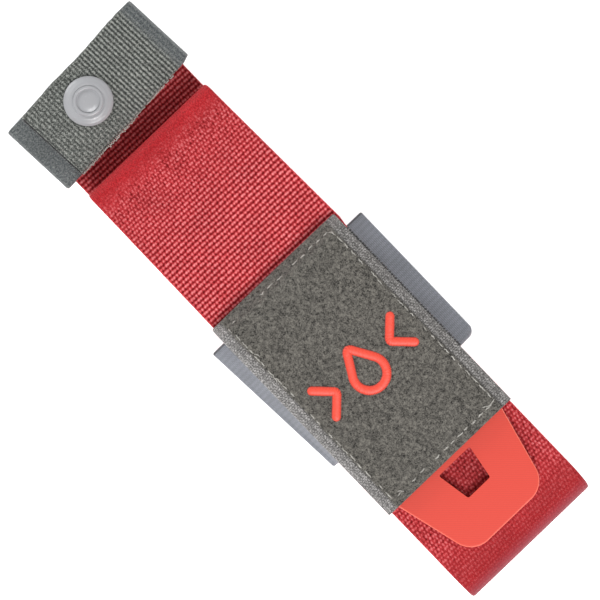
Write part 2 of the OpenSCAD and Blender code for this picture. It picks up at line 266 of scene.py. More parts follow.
def webbing(name, path, width, thick, relief, depth, place, step=RIB / 4, side_step=CELL / 6,
            inner_step=None, offset=0.0, fade=EVEN, outer=True, warp=None, shade=None):
    """Webbing swept along a flat path, with its weave as real relief on the outer face and the edges,
    and on the inner face too when inner_step is as fine. fade says how strong and how loose its relief
    is, how much painted shade darkens its colour and how much closer its ribs, the same all along or worked
    out from the path. shade gives more painted shade from the points."""
    at, left, run = resample(path, step)
    side, high, d_side, d_high, face = ring(width, thick, side_step, inner_step or width / 3)
    fine_inner = inner_step is not None and inner_step <= 2 * side_step
    grid_run = (run + offset)[:, None] + 0 * side[None]
    grid_side = side[None] + 0 * run[:, None]
    faded = fade(at) if callable(fade) else fade
    strength, loose, painted_shade, closer = (np.broadcast_to(value, len(run))[:, None] for value in faded)
    extra = np.cumsum(closer)[:, None] * (run[1] - run[0])
    level, painted_glint = relief(grid_run + extra + np.where(face < 0, RIB / 2, 0)[None], grid_side, loose)
    painted_glint = painted_glint * strength ** 0.5
    tone = 0.5 + (level - 0.5) * strength * np.where(face == 0, 0.4, 1)[None]
    level = 1 - (1 - level) * strength
    if not fine_inner:
        level = np.where(face[None] < 0, HIDDEN_LEVEL, level)
    if not outer:
        level = np.where(face[None] > 0, HIDDEN_LEVEL, level)
    push = (level - 1) * depth
    rise = high[None] + push * d_high[None]
    reach = side[None] + 0.3 * push * d_side[None]
    a, b = beside(at, left, rise)
    points = place(a.ravel(), b.ravel(), reach.ravel())
    if warp is not None:
        points = warp(points)
    n, m = rise.shape
    painted_shade = np.repeat(painted_shade.ravel(), m) + (0 if shade is None else shade(points))
    # painted sheen: how much of the lilac tint the webbing gets as it turns down at the right nose
    away = clip((at[:, 0] - NOSE_X - TURN_START) / TURN_LENGTH) ** 1.3
    marks = {"tone": tone.ravel(), "run": grid_run.ravel(), "side": grid_side.ravel(),
             "turned": np.repeat(away, m), "painted_shade": painted_shade,
             "fold": np.repeat(1 - strength.ravel(), m), "painted_glint": painted_glint.ravel()}
    return build_mesh(name, points, skin(n, m), marks)


def turned_line(x, y, turn, along, across, z):
    """Points seen from above along and across a direction, from the place x, y."""
    c, s = math.cos(turn), math.sin(turn)
    return np.c_[x + along * c - across * s, y + along * s + across * c, z]


def in_xz(a, b, across):
    """The plane of most of the webbing's paths: a runs along X and b up."""
    return np.c_[a, across, b]


def in_xz_down(a, b, across):
    """Like in_xz, with the outer face turned down."""
    return np.c_[a, -across, -b]


def lathe(name, profile, centre, segments):
    """A turned piece. profile is a list of radius and height, from the bottom to the top."""
    turn = np.linspace(0, 2 * math.pi, segments, endpoint=False)
    verts, rings = [], []
    for r, z in profile:
        if r < 1e-6:
            rings.append([len(verts)] * segments)
            verts.append([centre[0], centre[1], z])
        else:
            rings.append(list(range(len(verts), len(verts) + segments)))
            verts += [[centre[0] + r * math.cos(t), centre[1] + r * math.sin(t), z] for t in turn]
    faces = []
    for low, high in zip(rings, rings[1:]):
        for k in range(segments):
            corners = [low[k], low[(k + 1) % segments], high[(k + 1) % segments], high[k]]
            faces.append(list(dict.fromkeys(corners)))
    return build_mesh(name, verts, faces)


def tube(points, radii, sides):
    """Points and faces of a closed round thread along a line of 3-D points."""
    points = np.asarray(points, float)
    along = unit(np.gradient(points, axis=0))
    across = np.cross(along, np.array([0, 0, 1.0]))
    size = np.linalg.norm(across, axis=1)[:, None]
    across = np.where(size > 1e-3, across / np.maximum(size, 1e-9), [[1.0, 0, 0]])
    over = np.cross(across, along)
    turn = np.linspace(0, 2 * math.pi, sides, endpoint=False)[None, :, None]
    radii = np.broadcast_to(radii, len(points))[:, None, None]
    verts = points[:, None] + radii * (across[:, None] * np.cos(turn) + over[:, None] * np.sin(turn))
    return verts.reshape(-1, 3), skin(len(points), sides)


def join(parts):
    """One list of points and faces from many that tube() made."""
    verts, faces, start = [], [], 0
    for v, f in parts:
        verts.append(v)
        faces += [[start + k for k in face] for face in f]
        start += len(v)
    return np.vstack(verts), faces


# ---- materials


def srgb(*levels):
    """A colour as it looks on screen, 0 to 255, in the linear values that Blender takes."""
    shares = [level / 255 for level in levels]
    return tuple(c / 12.92 if c <= 0.04045 else ((c + 0.055) / 1.055) ** 2.4 for c in shares) + (1,)


class Nodes:
    """Short calls for building one material."""

    def __init__(self, name):
        self.mat = bpy.data.materials.new(name)
        self.mat.use_nodes = True
        self.tree = self.mat.node_tree
        self.base = self.tree.nodes["Principled BSDF"]

    def add(self, kind, **values):
        node = self.tree.nodes.new(kind)
        for key, value in values.items():
            if hasattr(node, key):
                setattr(node, key, value)
            else:
                node.inputs[key.replace("_", " ")].default_value = value
        return node

    def feed(self, value, into):
        """Sets an input to a plain value, or links it to another node's output."""
        if isinstance(value, (int, float, tuple)):
            into.default_value = value
        else:
            self.tree.links.new(value, into)

    def attribute(self, name):
        return self.add("ShaderNodeAttribute", attribute_name=name).outputs["Fac"]

    def ramp(self, fac, stops):
        node = self.add("ShaderNodeValToRGB")
        while len(node.color_ramp.elements) < len(stops):
            node.color_ramp.elements.new(0.5)
        for element, (place, colour) in zip(node.color_ramp.elements, stops):
            element.position = place
            element.color = colour
        self.feed(fac, node.inputs["Fac"])
        return node.outputs["Color"]

    def noise(self, scale, detail, vector, rough=0.5):
        node = self.add("ShaderNodeTexNoise", Scale=scale, Detail=detail, Roughness=rough)
        self.feed(vector, node.inputs["Vector"])
        return node.outputs["Fac"]

    def place(self):
        return self.add("ShaderNodeTexCoord").outputs["Object"]

    def mix(self, fac, a, b, blend="MIX"):
        node = self.add("ShaderNodeMix", data_type="RGBA", blend_type=blend)
        for value, into in ((fac, node.inputs[0]), (a, node.inputs[6]), (b, node.inputs[7])):
            self.feed(value, into)
        return node.outputs[2]

    def maths(self, operation, a, b=0.0):
        node = self.add("ShaderNodeMath", operation=operation)
        for value, into in zip((a, b), node.inputs):
            self.feed(value, into)
        return node.outputs[0]

    def plus(self, a, b):
        return self.maths("ADD", a, b)

    def times(self, a, b):
        return self.maths("MULTIPLY", a, b)

    def vary(self, level, noise, share):
        """A level moved up and down by a share of a noise."""
        return self.plus(level, self.times(self.maths("SUBTRACT", noise, 0.5), share))

    def vector(self, x, y):
        node = self.add("ShaderNodeCombineXYZ")
        self.feed(x, node.inputs[0])
        self.feed(y, node.inputs[1])
        return node.outputs[0]

    def bump(self, height, distance):
        """Relief of a height in millimetres."""
        node = self.add("ShaderNodeBump", Distance=distance * METRES, Strength=1.0)
        self.feed(height, node.inputs["Height"])
        self.feed(node.outputs["Normal"], self.base.inputs["Normal"])

    def set(self, **values):
        for key, value in values.items():
            self.feed(value, self.base.inputs[key.replace("_", " ")])
        return self.mat


def grey(level):
    """A grey in linear values, 1 for white."""
    return (level, level, level, 1)


WHITE, BLACK = grey(1), grey(0)


def shaded(colour, share):
    """A colour made darker or lighter by a share, as far as white."""
    return tuple(min(1, c * share) for c in colour[:3]) + (1,)


def woven(name, dark, mid, light, speckle=0.3, gloss=0.3, folded=None, turned=None, edges=()):
    """Webbing: painted shade between the floats and a painted highlight on their crests, with uneven fibres
    along each float.
    folded is its colour where it is stretched round a fold, where painted glints light some floats, and
    turned is a painted lilac sheen where it turns down at the last nose.
    edges holds a colour, its share and the range of side positions over which it comes in."""
    n = Nodes(name)
    run, side = n.attribute("run"), n.attribute("side")
    fibre = n.noise(1.0, 2.0, n.vector(n.times(run, 1.6), n.times(side, 8.0)))
    fleck = n.noise(1.0, 2.0, n.vector(n.times(run, 2.6), n.times(side, 3.6)), 0.7)
    patch = n.noise(0.12, 2.0, n.vector(run, side))
    mottle = n.maths("SUBTRACT", n.plus(n.times(fibre, 0.5), fleck), 0.75)
    level = n.plus(n.attribute("tone"), n.times(mottle, 2.4 * speckle))
    # painted shade in the gaps and painted highlight on the crests: the ramp follows the relief's tone
    colour = n.ramp(level, [(0.16, dark), (0.5, mid), (0.92, light)])
    if folded is not None:
        soft = n.ramp(n.plus(n.times(mottle, 8 * speckle), 0.5),
                      [(0.3, shaded(folded, 0.72)), (0.7, shaded(folded, 1.3))])
        colour = n.mix(n.attribute("fold"), colour, soft)
        # painted glints: some floats in the smoothed fold zones are mixed toward the light colour
        painted_glint_share = n.times(n.attribute("painted_glint"), n.times(n.attribute("fold"), 0.8))
        colour = n.mix(painted_glint_share, colour, light)
    if turned is not None:
        # painted lilac sheen at the right nose
        colour = n.mix(n.times(n.attribute("turned"), 0.6), colour, turned)
    for tint, share, start, stop in edges:
        near = n.add("ShaderNodeMapRange", From_Min=start, From_Max=stop)
        n.feed(side, near.inputs["Value"])
        colour = n.mix(n.times(near.outputs[0], share), colour, tint)
    # painted shade: darkens the colour towards deep red where the painted_shade attribute says
    painted_darkening = n.mix(n.times(n.attribute("painted_shade"), 0.48), WHITE, (0.2, 0, 0, 1))
    uneven = n.ramp(patch, [(0.3, grey(0.88)), (0.7, grey(1.06))])
    for shade in (painted_darkening, uneven):
        colour = n.mix(1.0, colour, shade, "MULTIPLY")
    n.bump(fibre, 0.05)
    return n.set(Base_Color=colour, Roughness=0.55, Sheen_Weight=0.05, Sheen_Roughness=0.4,
                 Specular_IOR_Level=gloss)


def felt(name, dark, light):
    """Napped loop fabric: curly fibres with lighter and darker spots."""
    n = Nodes(name)
    place = n.place()
    curls = n.noise(3100, 3.0, place, 0.7)
    tufts = n.noise(1200, 2.0, place, 0.6)
    both = n.plus(n.times(curls, 0.62), n.times(tufts, 0.38))
    n.bump(both, 0.2)
    return n.set(Base_Color=n.ramp(both, [(0.38, dark), (0.62, light)]), Roughness=0.95,
                 Sheen_Weight=0.1, Sheen_Roughness=0.6)


def moulded(name, colour, roughness, bump=0.02, **more):
    """Moulded plastic with a fine grain and slightly uneven colour and gloss."""
    n = Nodes(name)
    place = n.place()
    fine = n.noise(1400, 3.0, place, 0.6)
    tint = n.ramp(n.noise(45, 2.0, place), [(0.3, shaded(colour, 0.94)), (0.7, shaded(colour, 1.06))])
    n.bump(fine, bump)
    return n.set(Base_Color=tint, Roughness=n.plus(n.times(fine, 0.16), roughness - 0.08), **more)


def plated(name, colour):
    """Plated metal with fine scratches in its gloss."""
    n = Nodes(name)
    worn = n.noise(900, 4.0, n.place(), 0.7)
    n.bump(worn, 0.004)
    return n.set(Base_Color=colour, Metallic=1.0, Roughness=n.plus(n.times(worn, 0.25), 0.12))


def thread(name, dark, light):
    """Sewing thread, with strands a little lighter and darker."""
    n = Nodes(name)
    strands = n.noise(2600, 2.0, n.place(), 0.6)
    n.bump(strands, 0.03)
    return n.set(Base_Color=n.ramp(strands, [(0.35, dark), (0.65, light)]), Roughness=0.5, Sheen_Weight=0.3)


def satin_thread(name, dark, light):
    """Shiny embroidery thread, with painted shade between the stitches and along each stroke's edges."""
    n = Nodes(name)
    strands = n.noise(2600, 2.0, n.place(), 0.6)
    # level: painted shade, low between stitches and at each stroke's sides
    level = n.vary(n.attribute("level"), strands, 0.3)
    n.bump(strands, 0.02)
    return n.set(Base_Color=n.ramp(level, [(0.15, dark), (0.7, light)]), Roughness=0.42, Sheen_Weight=0.2)


def toned(name, dark, light):
    """Fibres that each have their own shade, kept in the tone attribute."""
    n = Nodes(name)
    tone = n.vary(n.attribute("tone"), n.noise(3000, 2.0, n.place()), 0.3)
    return n.set(Base_Color=n.ramp(tone, [(0.0, dark), (1.0, light)]), Roughness=0.85)


def lined(name, colour, rim):
    """Moulded plastic with fine slanting tool lines, and a painted highlight, a paler rim, on the rounding of
    its edges.
    """
    n = Nodes(name)
    place = n.place()
    turned = n.add("ShaderNodeMapping")
    turned.inputs["Rotation"].default_value = (0, 0, math.radians(-VIEW_TURN))
    n.feed(place, turned.inputs["Vector"])
    lines = n.add("ShaderNodeTexWave", bands_direction="Y", Scale=620, Distortion=1.2, Detail=2.0)
    n.feed(turned.outputs["Vector"], lines.inputs["Vector"])
    relief = n.plus(n.times(lines.outputs["Fac"], 0.6), n.times(n.noise(2600, 3.0, place), 0.4))
    face = n.ramp(relief, [(0.2, shaded(colour, 0.93)), (0.8, colour)])
    split = n.add("ShaderNodeSeparateXYZ")
    n.feed(n.add("ShaderNodeNewGeometry").outputs["True Normal"], split.inputs[0])
    upright = n.maths("ABSOLUTE", split.outputs["Z"])
    # painted highlight: the rim colour on faces that are neither flat nor upright, the rounded edges
    painted_rim_highlight = n.ramp(upright, [(0.25, BLACK), (0.5, WHITE), (0.93, WHITE), (0.99, BLACK)])
    n.bump(relief, 0.012)
    return n.set(Base_Color=n.mix(painted_rim_highlight, face, rim), Roughness=0.45, Specular_IOR_Level=0.4)


# Each webbing's dark colour is painted shade between its floats, and its light colour a painted highlight on
# their crests.
RED = woven("red_webbing", srgb(112, 4, 10), srgb(205, 59, 65), srgb(254, 150, 153), 0.3, gloss=0.12,
            # turned is a painted lilac sheen at the right nose
            folded=srgb(186, 36, 43), turned=srgb(176, 80, 104))
GREY = woven("grey_webbing", srgb(108, 111, 118), srgb(126, 129, 137), srgb(146, 149, 157), 0.4,
             # edges: painted shade, a dark line along the wings' -X end, where the cut edge lies in shadow
             edges=[(srgb(58, 60, 64), 0.9, -19.1, -19.4)])
EDGE = woven("cover_edge", srgb(66, 64, 62), srgb(136, 133, 130), srgb(204, 201, 199), 1.0,
             # edges: a painted highlight along the -Y border and painted shade along the +Y border, as the
             # light falls on them
             edges=[(srgb(176, 174, 176), 0.15, -17.0, -18.6), (srgb(96, 94, 93), 0.3, 14.0, 16.8)])
BAND = woven("band_webbing", srgb(44, 48, 45), srgb(98, 101, 97), srgb(168, 171, 165), 0.9,
             folded=srgb(90, 95, 99))
RIBBON = woven("black_ribbon", srgb(14, 14, 15), srgb(34, 34, 36), srgb(52, 52, 54))
FELT = felt("cover_felt", srgb(26, 24, 22), srgb(134, 130, 122))
DARK_FELT = felt("pad_loops", srgb(22, 22, 23), srgb(58, 58, 60))
HOOKS = moulded("hook_black", srgb(38, 38, 40), 0.55)
# the key's second colour is a painted highlight on its rounded edges
CORAL = lined("key_coral", srgb(230, 69, 51), srgb(250, 113, 94))
CORAL_THREAD = satin_thread("coral_thread", srgb(205, 36, 24), srgb(252, 84, 62))
FIBRES = toned("felt_fibres", srgb(58, 56, 53), srgb(150, 146, 139))
PALE_THREAD = thread("pale_thread", srgb(150, 146, 138), srgb(206, 203, 196))
DARK_THREAD = thread("dark_thread", srgb(20, 20, 22), srgb(44, 44, 46))
PLATE = moulded("plate_dark", srgb(46, 47, 49), 0.5)
BUCKLE = moulded("buckle_grey", srgb(74, 76, 78), 0.45)
CAP = moulded("cap_grey", srgb(176, 177, 180), 0.25, 0.03, Subsurface_Weight=0.2,
              Subsurface_Radius=(0.0012, 0.0012, 0.0012))
METAL = plated("snap_metal", (0.62, 0.62, 0.63, 1))


def finish_piece(thing, material, body, nodes=()):
    """Gives a piece its material, makes it ride on its body, and sets the CAD nodes it replaces."""
    thing.data.materials.append(material)
    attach(thing, body)
    if nodes:
        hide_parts(*nodes)
    return thing


def finish_tubes(name, tubes, material, body, nodes=(), draped=False, marks=None):
    """One piece from many that tube() made."""
    verts, faces = join(tubes)
    if draped:
        verts[:, 2] -= drape(verts[:, 0])
    finish_piece(build_mesh(name, verts, faces, marks), material, body, nodes)


# ---- red strap

SEAM_X = (ANCHOR_LOW[0] + ANCHOR_HIGH[0]) / 2
NOSE_MID = (NOSE_X, (Z_LOW + Z_TOP) / 2)
LEFT_MID = (LEFT_X, Z_TOP - LEFT_R)
RED_RELIEF = floats(RIB, CELL, (0.52, 0.17, 0.22, 0.11, 0.07, 0.05), skew=0.02)
RED_DEPTH = 0.24
JOIN_X = LEFT_X + 12  # where the top run's fold meets the inner folds
LOW_JOIN_X = NOSE_X - 4  # where the nose meets the run under the pack
WRAP_X = TAIL_HIGH[0] + GAP + WEB / 2  # where that run turns up round the buckle's end bar
SEWN = (1.5, 9.6)  # where its sewn end lies on it
FLAT_LEFT = (5.0, 21.0)  # how far from the left fold the weave comes back, and is even again
FLAT_RIGHT = 14.0  # how long the weave takes to fade at the right nose
FOLD_RIGHT, FOLD_LEFT = NOSE_X + 1.8, LEFT_X - 1.2  # middles of the inner folds' ends
INTO_BUCKLE_X = (BUCKLE_LOW[0] + BUCKLE_HIGH[0]) / 2 - 2  # where the last layer goes down into the buckle
EYE_PAINTED_SHADE, EYE_REACH = 0.65, (5.0, 6.0)  # strength and reach of the painted shadow on the strap under an eye, where the key shades it
TAIL_FINE = LEFT_X + 31  # how far in the tail shows both faces when it is pulled
# the tail's fade: painted shade of 0.4 all along it, for the shade between the band and the pack
TAIL_FADE = (1, 0, 0.4, 0)


def ends_fade(at):
    """How strong the relief is, how loose, how much painted shade it gets, and how much closer its ribs look:
    even on the flats, scattered, low and close near a fold. The painted shade darkens it towards both noses
    and by the key."""
    x = at[:, 0]
    left = clip((x - LEFT_X + 1.0) / FLAT_LEFT[0])
    curve = clip((LEFT_X + FLAT_LEFT[1] - x) / (FLAT_LEFT[1] - 2.0))
    right = clip((NOSE_X + 7.5 - x) / FLAT_RIGHT)
    nose = clip((x - 8.0) / 12.0)
    strength = np.minimum(0.1 + 0.9 * left, 0.3 + 0.7 * right)
    loose = np.maximum(curve ** 1.2, 0.75 * nose)
    # painted shade towards the right nose, on the left fold and on the strap's right part by the key
    painted_shade = np.maximum(1 - right, np.maximum(0.25 * curve, 0.22 * nose))
    return strength, loose, painted_shade, 0.29 * curve ** 1.8 + 0.08 * nose


def spread(points):
    """The top run is a little wider than the runs below it, most of all where the cover holds it down."""
    x = points[:, 0]
    near = clip((x - LEFT_X) / (SEAM_X - LEFT_X)) * clip((SEAM_X + 8 - x) / 8)
    top = clip((points[:, 2] - Z_INNER) / (Z_TOP - Z_INNER))
    side = points[:, 1] / (STRAP_W / 2)
    more = clip(side) * (0.6 + 1.1 * near) - clip(-side) * (0.2 + 0.25 * near)
    points[:, 1] += top * more
    return points


def eye_painted_shade(points):
    """Painted shadow on the strap under the key's eye, with soft edges. It stays on the strap when the key
    turns.
    """
    x = (points[:, 0] - (EYE_NEAR + EYE_FAR) / 2) / EYE_REACH[0]
    y = points[:, 1] / EYE_REACH[1]
    return EYE_PAINTED_SHADE * np.exp(-x ** 4 - y ** 4)


def strap():
    """The folded strap, in pieces that meet under the cover's anchor, inside the pack and under the nose."""
    z3 = Z_INNER + (INNER_LAYERS - 1) * LAYER
    left = np.vstack([[(JOIN_X, z3)], arc(LEFT_MID, LEFT_R, 270, 90), [(SEAM_X, Z_TOP)]])
    right = np.vstack([[(SEAM_X, Z_TOP)], arc(NOSE_MID, NOSE_R, 90, -90), [(LOW_JOIN_X, Z_LOW)]])
    bar_top = BUCKLE_HIGH[2] - WEB / 2
    sewn_z = Z_LOW + LAYER
    under = rounded([(LOW_JOIN_X, Z_LOW), (WRAP_X, Z_LOW), (WRAP_X, bar_top), (BUCKLE_HIGH[0] + 0.5, bar_top),
                     (SEWN[0], sewn_z), (SEWN[1], sewn_z)], 1.2)
    shared = dict(width=STRAP_W, thick=WEB, relief=RED_RELIEF, depth=RED_DEPTH, place=in_xz)
    left_length = resample(left, 1.0)[2][-1]
    right_length = resample(right, 1.0)[2][-1]
    pieces = [
        webbing("strap_left", left, fade=ends_fade, warp=spread, **shared),
        webbing("strap_right", right, fade=ends_fade, warp=spread, offset=left_length, shade=eye_painted_shade,
                **shared),
        webbing("strap_under", under, offset=left_length + right_length, **shared),
    ]
    folds = [[(JOIN_X, z3)]]
    for i in range(INNER_LAYERS - 1):
        fold_x, stop = (FOLD_LEFT, 270) if i % 2 else (FOLD_RIGHT, -90)
        folds.append(arc((fold_x, z3 - (i + 0.5) * LAYER), LAYER / 2, 90, stop))
    folds.append([(INTO_BUCKLE_X, Z_INNER), (INTO_BUCKLE_X, BUCKLE_LOW[2])])
    pieces.append(webbing("strap_folds", np.vstack(folds), step=RIB / 3, side_step=STRAP_W / 3, outer=False,
                          **shared))
    for piece in pieces:
        finish_piece(piece, RED, "strap_pack")
    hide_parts("main_strap")


def tail():
    """The running end. Inside the pack only its underside shows, so that is its outer face there."""
    z = (TAIL_LOW[2] + TAIL_HIGH[2]) / 2
    for name, x0, x1, inner, nodes in (("tail_outer", TAIL_LOW[0], TAIL_FINE, CELL / 6, ["strap_tail"]),
                                       ("tail_inner", TAIL_FINE, TAIL_HIGH[0] - 0.2, 3 * CELL, [])):
        place, start = (in_xz, z) if x1 == TAIL_FINE else (in_xz_down, -z)
        piece = webbing(name, [(x0, start), (x1, start)], STRAP_W, WEB, RED_RELIEF, RED_DEPTH, place,
                        inner_step=inner, offset=x0 - TAIL_LOW[0], fade=TAIL_FADE)
        finish_piece(piece, RED, "tail", nodes)


strap()
tail()

# ---- keeper loop

KEEPER_END, LAP_END = -12.0, 17.0  # the inner and the outer end of the keeper's overlap
WING_TAPER = 2.3  # how much narrower the left wing is at its right end
WING_MORE = 0.25  # how much wider the right wing is
SHOULDER_GAP = 0.6  # from the strap's edges to where the keeper turns down


def keeper():
    """The wide loop round the buckle and the folds. Its left wing narrows towards the right end."""
    t = BAND_WEB
    top = KEEPER_HIGH[2] - t / 2
    low = KEEPER_LOW[2] + t + GAP + t / 2
    lap = KEEPER_LOW[2] + t / 2
    right, left = KEEPER_HIGH[1] - t / 2, KEEPER_LOW[1] + t / 2
    shoulder = STRAP_W / 2 + SHOULDER_GAP
    hip = BUCKLE_HIGH[2] + GAP
    path = rounded([(LAP_END, lap), (left, lap), (left, hip), (-shoulder, top), (shoulder, top),
                    (right, hip), (right, low), (KEEPER_END, low)], 1.4)
    width = KEEPER_HIGH[0] - KEEPER_LOW[0]
    middle = (KEEPER_HIGH[0] + KEEPER_LOW[0]) / 2

    def taper(points):
        share = (points[:, 0] - KEEPER_LOW[0]) / width
        wing = clip((-points[:, 1] - STRAP_W / 2) / 4.0)
        points[:, 1] += WING_TAPER * share * wing
        wing = clip((points[:, 1] - STRAP_W / 2) / 6.0)
        corner = clip((share - 0.95) / 0.05)
        points[:, 1] += (WING_MORE - 1.4 * corner ** 2) * wing
        return points

    def place(a, b, across):
        return np.c_[across + middle, a, b]

    piece = webbing("keeper_webbing", path, width, t, floats(0.66, 1.3, EVEN_WEAVE, 7), 0.1, place,
                    step=0.2, side_step=0.34, warp=taper)
    finish_piece(piece, GREY, "strap_pack", ["keeper_loop"])


keeper()

# ---- windlass: ribbon, plate, key

AXIS_SLOT = 2.6  # middle of each ribbon slot from the axis
SLOT_LEN, SLOT_GAP = 9.4, 1.2
KEY_TIP, KEY_TIP_Y = 6.0, 7.1  # radius and middle of the key's corners
KEY_SHOULDER_X, KEY_SHOULDER_R = 16.0, 6.0
KEY_MID_Y = 12.35  # half the key's width at its waist
WAIST_R = 34.0
LOOP_WEB = 0.6  # thickness of the ribbon's loop
RIBBON_START = 7.6  # where the flat ribbon comes out of the strap's opening, from the axis


def plate(name, outline, holes, low, high, bevel):
    """A flat moulded piece with rounded edges, from an outline and its holes."""
    curve = bpy.data.curves.new(name, "CURVE")
    curve.dimensions = "2D"
    curve.fill_mode = "BOTH"
    for loop in [outline] + list(holes):
        spline = curve.splines.new("POLY")
        spline.points.add(len(loop) - 1)
        for point, (x, y) in zip(spline.points, loop):
            point.co = (x * METRES, y * METRES, 0, 1)
        spline.use_cyclic_u = True
    curve.extrude = ((high - low) / 2 - bevel) * METRES
    curve.bevel_depth = bevel * METRES
    curve.bevel_resolution = 3
    curve.offset = -bevel * METRES
    source = placed(bpy.data.objects.new(name + "_curve", curve))
    view = bpy.context.evaluated_depsgraph_get()
    mesh = bpy.data.meshes.new_from_object(source.evaluated_get(view))
    bpy.data.objects.remove(source)
    bpy.data.curves.remove(curve)
    face_outwards(mesh, weld=True)
    mesh.transform(mathutils.Matrix.Translation((0, 0, (low + high) / 2 * METRES)))
    mesh.name = name
    return placed(bpy.data.objects.new(name, mesh))


def key_outline():
    """The key seen from above: flared round ends joined to a narrower waist."""
    half_x, half_y = (KEY_HIGH[0] - KEY_LOW[0]) / 2, (KEY_HIGH[1] - KEY_LOW[1]) / 2
    corner = (half_x - KEY_TIP, KEY_TIP_Y)
    shoulder = (KEY_SHOULDER_X, half_y - KEY_SHOULDER_R)
    dx, dy = np.subtract(corner, shoulder)
    normal = math.degrees(math.atan2(dy, dx) + math.acos((KEY_SHOULDER_R - KEY_TIP) / math.hypot(dx, dy)))
    quarter = np.vstack([arc(corner, KEY_TIP, 0, normal), arc(shoulder, KEY_SHOULDER_R, normal, 90)])
    x = np.linspace(shoulder[0], 0, 60)[1:]
    waist = KEY_MID_Y + WAIST_R - np.sqrt(WAIST_R ** 2 - np.minimum(x, WAIST_R) ** 2)
    body = np.c_[x, np.minimum(half_y, waist)]
    upper_right = rounded(np.vstack([quarter, body]), 0.01)
    upper = np.vstack([upper_right, (upper_right * [-1, 1])[::-1][1:]])
    return np.vstack([upper, (upper * [1, -1])[::-1]])


def eye(side):
    """The trapezoid eye near one end of the key."""
    line = [(EYE_NEAR, 0), (EYE_NEAR, EYE_NEAR_Y), (EYE_FAR, EYE_FAR_Y), (EYE_FAR, -EYE_FAR_Y),
            (EYE_NEAR, -EYE_NEAR_Y), (EYE_NEAR, 0)]
    return rounded(line, 1.0)[:-1] * side


def rectangle(x, y):
    """Corners of a rectangle round the axis, from half of each side."""
    return [(-x, -y), (x, -y), (x, y), (-x, y)]


def windlass():
    """The key with a bar between its slots, the ribbon's loop through them, and the ribbon to both sides."""
    low, high = KEY_LOW[2], KEY_HIGH[2]
    slot = rectangle(AXIS_SLOT + SLOT_GAP / 2, SLOT_LEN / 2)
    key = plate("key_body", key_outline(), [eye(1), eye(-1), slot], low, high, 0.38)
    finish_piece(key, CORAL, "windlass", ["windlass_key"])
    across = rectangle(AXIS_SLOT - SLOT_GAP / 2, SLOT_LEN / 2 + 0.5)
    bar = plate("key_bar", across, [], low + 0.1, high - 1.2, 0.5)
    finish_piece(bar, CORAL, "windlass")

    low, high = box("ribbon_loop")
    z0, z1 = low[2] + LOOP_WEB / 2, high[2] - LOOP_WEB / 2
    x = AXIS_SLOT
    path = rounded([(0, z0), (-x, z0), (-x, z1), (x, z1), (x, z0), (0, z0)], 0.7)
    loop = webbing("ribbon_loop_webbing", path, high[1] - low[1], LOOP_WEB, floats(0.5, 0.75, EVEN_WEAVE, 11),
                   0.07, in_xz, step=0.125, side_step=0.125)
    finish_piece(loop, RIBBON, "windlass", ["ribbon_loop"])

    low, high = box("tension_ribbon")
    z = (low[2] + high[2]) / 2
    for name, x0, x1, nodes in (("ribbon_left", low[0], -RIBBON_START, ["tension_ribbon"]),
                                ("ribbon_right", RIBBON_START, high[0], [])):
        run = webbing(name, [(x0, z), (x1, z)], high[1] - low[1], high[2] - low[2],
                      floats(0.5, 0.75, EVEN_WEAVE, 12), 0.07, in_xz, step=0.25, side_step=0.25)
        finish_piece(run, RIBBON, "strap_pack", nodes)


windlass()

# ---- cover and the pads that hold it

PAD = 8.0  # length of each loop pad on the key
HOOK_PITCH = 1.05  # from one hook to the next
COVER_SPLIT = -42.2  # where the cover's fold meets its stiff back
DRAPE = 2.7  # how far the cover's sewn end comes down towards the strap
DROOP_START, DROOP_RIGHT, DROOP_LEFT = 16.0, 0.25, 0.7  # where its long edges start to hang, and how far
FIBRE_COUNT = 3600  # fibres in each of the felt's two pieces of them
SEAM_INSET = 2.2  # from the felt's ends to the seam


def drape(x):
    """How far the cover comes down at each x, near its sewn end."""
    t = clip((KEY_LOW[0] - 1.2 - x) / 4.0)
    return DRAPE * t * t * (3 - 2 * t)


def sheet(name, low, high, step, bumps, edge=0.35, under=False, draped=False):
    """A soft-edged sheet of napped fabric. bumps gives its relief; under turns the napped face down."""
    sign = -1 if under else 1
    nx, ny = int((high[0] - low[0]) / step), int((high[1] - low[1]) / step)
    x, y = np.meshgrid(np.linspace(low[0], high[0], nx), np.linspace(low[1], high[1], ny), indexing="ij")
    inset = np.minimum(np.minimum(x - low[0], high[0] - x), np.minimum(y - low[1], high[1] - y))
    soft = 1 - np.exp(-inset / edge)
    thick = high[2] - low[2]
    base = low[2] if not under else high[2]
    face = base + sign * (0.25 * thick + soft * 0.75 * thick + np.minimum(bumps(x, y), 0.02) * soft)
    upper = np.c_[x.ravel(), y.ravel(), face.ravel()]
    i, j = np.meshgrid(np.arange(nx - 1), np.arange(ny - 1), indexing="ij")
    a = (i * ny + j).ravel()
    quads = np.c_[a, a + ny, a + ny + 1, a + 1]
    rim = np.r_[np.arange(nx) * ny, (nx - 1) * ny + np.arange(1, ny),
                np.arange(nx - 1)[::-1] * ny + ny - 1, np.arange(1, ny - 1)[::-1]]
    lower = np.c_[x.ravel()[rim], y.ravel()[rim], np.full(len(rim), base)]
    start, count = len(upper), len(rim)
    after = np.r_[np.arange(1, count), 0]
    sides = np.c_[rim, rim[after], start + after, start + np.arange(count)]
    faces = quads.tolist() + sides.tolist() + [list(range(start, start + count))]
    verts = np.vstack([upper, lower])
    verts[:, 2] -= drape(verts[:, 0]) if draped else 0
    return build_mesh(name, verts, faces)


def nap(seed, parts):
    """Relief that adds seeded noise of several sizes: parts is a list of height and size."""
    def relief(x, y):
        noise = sum(height * smooth_noise(x, y, size, seed + k) for k, (height, size) in enumerate(parts))
        return noise - sum(height for height, _ in parts)
    return relief


